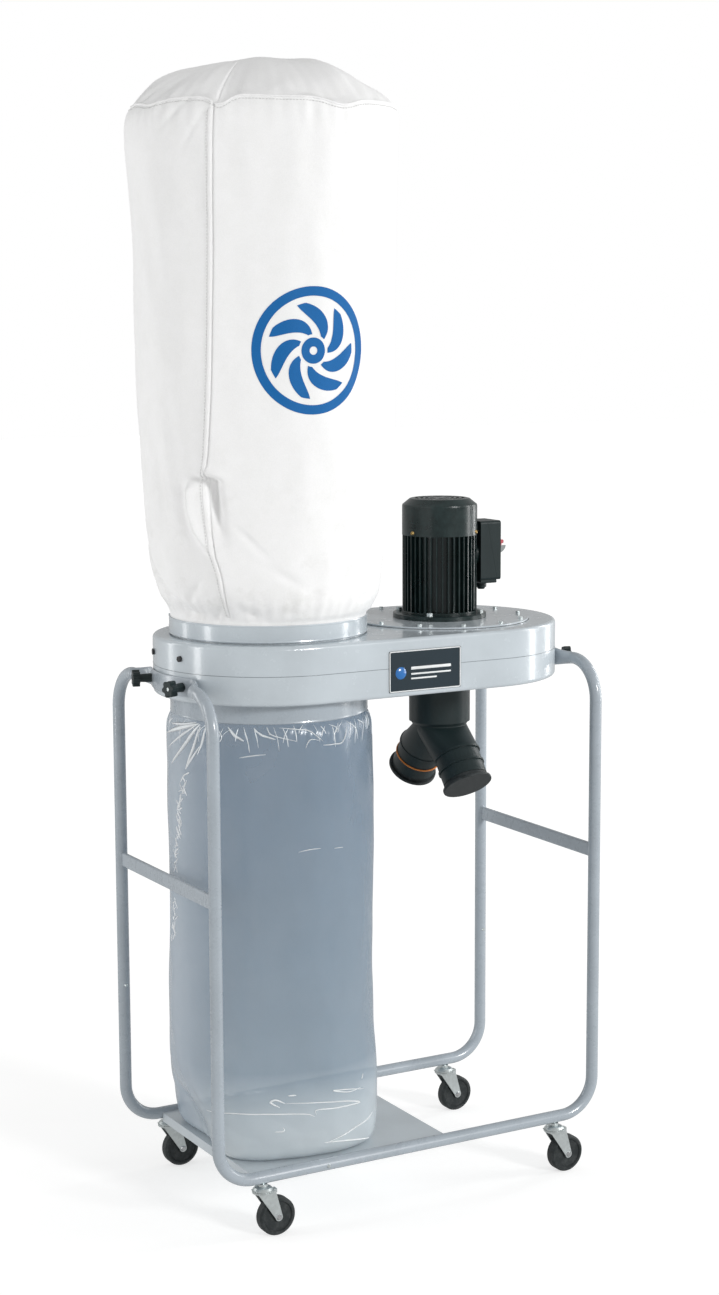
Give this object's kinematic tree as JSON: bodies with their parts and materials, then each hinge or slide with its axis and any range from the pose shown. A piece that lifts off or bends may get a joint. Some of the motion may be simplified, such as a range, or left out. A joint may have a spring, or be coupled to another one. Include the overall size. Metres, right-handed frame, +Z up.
{
  "type": "dust collector",
  "caption": "Wheeled bag dust collector: tube frame, flat stadium housing, upright fan motor, Y inlet with capped hose ports, felt filter bag above, clear waste bag below.",
  "frame": {"origin": "on the floor, at the centre of the four frame legs", "axes": "+Z up, +X from the bags towards the motor, -Y towards the side with the name plate"},
  "size_m": [0.9706, 0.5476, 2.328],
  "materials": {
    "frame_grey": "satin enamel",
    "housing_grey": "glossy enamel",
    "motor_black": "gloss black enamel",
    "black_plastic": "moulded, satin",
    "black_rubber": "matt",
    "zinc": "bright zinc plate",
    "steel": "machined",
    "black_steel": "black oxide",
    "brass": "bright",
    "white_felt": "needle felt",
    "clear_film": "clear polythene film",
    "plate_dark": "printed panel",
    "switch_grey": "moulded",
    "switch_red": "moulded",
    "orange_rubber": "satin",
    "copper": "varnished windings and laminations",
    "alloy": "cast"
  },
  "bodies": {
    "frame": {"front_u_tube": "frame_grey", "rear_u_tube": "frame_grey", "left_hoop": "frame_grey", "right_hoop": "frame_grey", "left_cross_bar": "frame_grey", "right_cross_bar": "frame_grey", "base_plate": "frame_grey", "frame_screws": "zinc", "caster_stems": "zinc", "upper_housing": "housing_grey", "lower_housing": "housing_grey", "housing_bolts": "black_steel", "hoop_studs": "zinc", "name_plate": "plate_dark", "filter_bag": "white_felt", "collector_bag": "clear_film", "upper_band": "housing_grey", "lower_band": "housing_grey", "motor_plate": "housing_grey", "motor_plate_bolts": "zinc", "motor_flange": "motor_black", "motor_flange_bolts": "zinc", "motor_frame": "motor_black", "motor_stator": "copper", "motor_end_shield": "motor_black", "motor_bearings": "steel", "motor_fan_cover": "motor_black", "fan_cover_screws": "brass", "switch_box": "black_plastic", "switch_box_cover": "black_plastic", "switch_guard": "switch_grey", "cable_gland": "black_plastic", "inlet_pipe": "black_plastic", "y_connector": "black_plastic", "seal_ring": "orange_rubber"},
    "rotor": {"motor_shaft": "steel", "motor_rotor": "steel", "motor_cooling_fan": "black_plastic", "impeller": "steel"},
    "rocker": {"switch_rocker": "switch_red"},
    "upper_lever": {"upper_band_lever": "zinc"},
    "lower_lever": {"lower_band_lever": "zinc"},
    "cap_front": {"port_cap_front": "black_rubber"},
    "cap_rear": {"port_cap_rear": "black_rubber"},
    "fork_front_left": {"caster_fork_front_left": "zinc", "caster_axle_front_left": "steel"},
    "wheel_front_left": {"caster_wheel_front_left": "black_rubber"},
    "knob_front_left": {"hoop_knob_front_left": "black_plastic"},
    "fork_rear_left": {"caster_fork_rear_left": "zinc", "caster_axle_rear_left": "steel"},
    "wheel_rear_left": {"caster_wheel_rear_left": "black_rubber"},
    "knob_rear_left": {"hoop_knob_rear_left": "black_plastic"},
    "fork_front_right": {"caster_fork_front_right": "zinc", "caster_axle_front_right": "steel"},
    "wheel_front_right": {"caster_wheel_front_right": "black_rubber"},
    "knob_front_right": {"hoop_knob_front_right": "black_plastic"},
    "fork_rear_right": {"caster_fork_rear_right": "zinc", "caster_axle_rear_right": "steel"},
    "wheel_rear_right": {"caster_wheel_rear_right": "black_rubber"},
    "knob_rear_right": {"hoop_knob_rear_right": "black_plastic"}
  },
  "joints": [
    {"name": "rotor_spin", "type": "hinge", "parent": "frame", "child": "rotor", "pos_m": [0.2, 0, 1.3], "axis": [0, 0, 1], "continuous": true},
    {"name": "switch_rock", "type": "hinge", "parent": "frame", "child": "rocker", "pos_m": [0.334, -0.012, 1.345], "axis": [0, 1, 0], "range_deg": [0, 20]},
    {"name": "upper_latch", "type": "hinge", "parent": "frame", "child": "upper_lever", "pos_m": [-0.36541, 0.14082, 1.21125], "axis": [0, 0, 1], "range_deg": [0, 120]},
    {"name": "lower_latch", "type": "hinge", "parent": "frame", "child": "lower_lever", "pos_m": [-0.30797, 0.1849, 1.0515], "axis": [0, 0, 1], "range_deg": [0, 120]},
    {"name": "cap_pull_front", "type": "slide", "parent": "frame", "child": "cap_front", "axis": [0, -0.6018, -0.7986], "range_m": [0, 0.12]},
    {"name": "cap_pull_rear", "type": "slide", "parent": "frame", "child": "cap_rear", "axis": [0, 0.6018, -0.7986], "range_m": [0, 0.12]},
    {"name": "caster_swivel_front_left", "type": "hinge", "parent": "frame", "child": "fork_front_left", "pos_m": [-0.352, -0.225, 0.097], "axis": [0, 0, 1], "continuous": true},
    {"name": "wheel_spin_front_left", "type": "hinge", "parent": "fork_front_left", "child": "wheel_front_left", "pos_m": [-0.324, -0.225, 0.03985], "axis": [0, 1, 0], "continuous": true},
    {"name": "knob_turn_front_left", "type": "hinge", "parent": "frame", "child": "knob_front_left", "pos_m": [-0.4692, -0.08119, 1.104], "axis": [-0.9537, -0.3007, 0], "continuous": true},
    {"name": "caster_swivel_rear_left", "type": "hinge", "parent": "frame", "child": "fork_rear_left", "pos_m": [-0.352, 0.225, 0.097], "axis": [0, 0, 1], "continuous": true},
    {"name": "wheel_spin_rear_left", "type": "hinge", "parent": "fork_rear_left", "child": "wheel_rear_left", "pos_m": [-0.324, 0.225, 0.03985], "axis": [0, 1, 0], "continuous": true},
    {"name": "knob_turn_rear_left", "type": "hinge", "parent": "frame", "child": "knob_rear_left", "pos_m": [-0.4692, 0.08119, 1.104], "axis": [-0.9537, 0.3007, 0], "continuous": true},
    {"name": "caster_swivel_front_right", "type": "hinge", "parent": "frame", "child": "fork_front_right", "pos_m": [0.352, -0.225, 0.097], "axis": [0, 0, 1], "continuous": true},
    {"name": "wheel_spin_front_right", "type": "hinge", "parent": "fork_front_right", "child": "wheel_front_right", "pos_m": [0.38, -0.225, 0.03985], "axis": [0, 1, 0], "continuous": true},
    {"name": "knob_turn_front_right", "type": "hinge", "parent": "frame", "child": "knob_front_right", "pos_m": [0.4692, -0.08119, 1.104], "axis": [0.9537, -0.3007, 0], "continuous": true},
    {"name": "caster_swivel_rear_right", "type": "hinge", "parent": "frame", "child": "fork_rear_right", "pos_m": [0.352, 0.225, 0.097], "axis": [0, 0, 1], "continuous": true},
    {"name": "wheel_spin_rear_right", "type": "hinge", "parent": "fork_rear_right", "child": "wheel_rear_right", "pos_m": [0.38, 0.225, 0.03985], "axis": [0, 1, 0], "continuous": true},
    {"name": "knob_turn_rear_right", "type": "hinge", "parent": "frame", "child": "knob_rear_right", "pos_m": [0.4692, 0.08119, 1.104], "axis": [0.9537, 0.3007, 0], "continuous": true}
  ]
}
